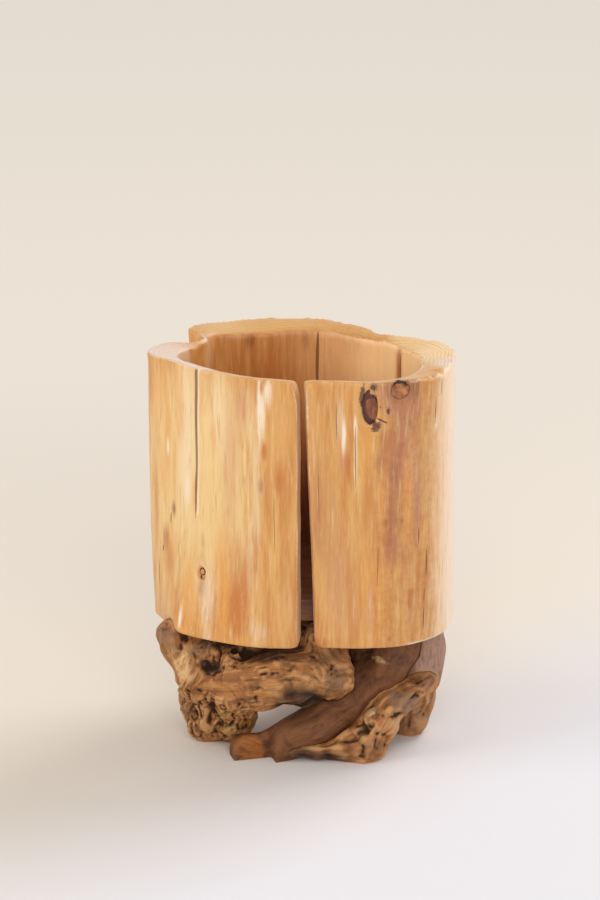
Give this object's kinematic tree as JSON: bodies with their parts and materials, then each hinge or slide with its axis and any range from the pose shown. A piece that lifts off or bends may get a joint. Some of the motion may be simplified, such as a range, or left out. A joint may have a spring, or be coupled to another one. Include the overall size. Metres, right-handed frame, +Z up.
{
  "type": "wooden flower vase",
  "caption": "Flower vase: a hollowed log in two staves with an open front split, a floor board inside, standing on a gnarled root base of coped and pegged limbs.",
  "frame": {"origin": "on the ground under the middle of the whole vase's box", "axes": "+Z up, -Y towards the front with the open split, +X to the right seen from the front"},
  "size_m": [0.2496, 0.184, 0.33],
  "materials": {
    "sapwood": "pale honey softwood, sanded and lightly oiled, satin",
    "knotwood": "dead dark knot, rough bark ring",
    "boardwood": "sawn board, satin",
    "rootwood": "weathered root, brushed, matt with oiled ridges",
    "darkroot": "smooth dark root wood, oiled, satin",
    "pegwood": "plain turned peg"
  },
  "bodies": {
    "root": {"shell_left": "sapwood", "shell_right": "sapwood", "knot_upper": "knotwood", "knot_rim": "knotwood", "knot_lower": "knotwood", "floor_board": "boardwood", "root_burl": "rootwood", "root_cross_limb": "darkroot", "root_right_limb": "rootwood", "root_rear_limb": "rootwood", "root_back_limb": "rootwood", "peg_burl_cross": "pegwood", "peg_cross_right": "pegwood", "peg_right_rear": "pegwood", "peg_cross_rear": "pegwood", "peg_burl_back": "pegwood", "peg_rear_back": "pegwood", "peg_floor_left": "pegwood", "peg_floor_right": "pegwood", "peg_floor_back": "pegwood"}
  },
  "joints": []
}
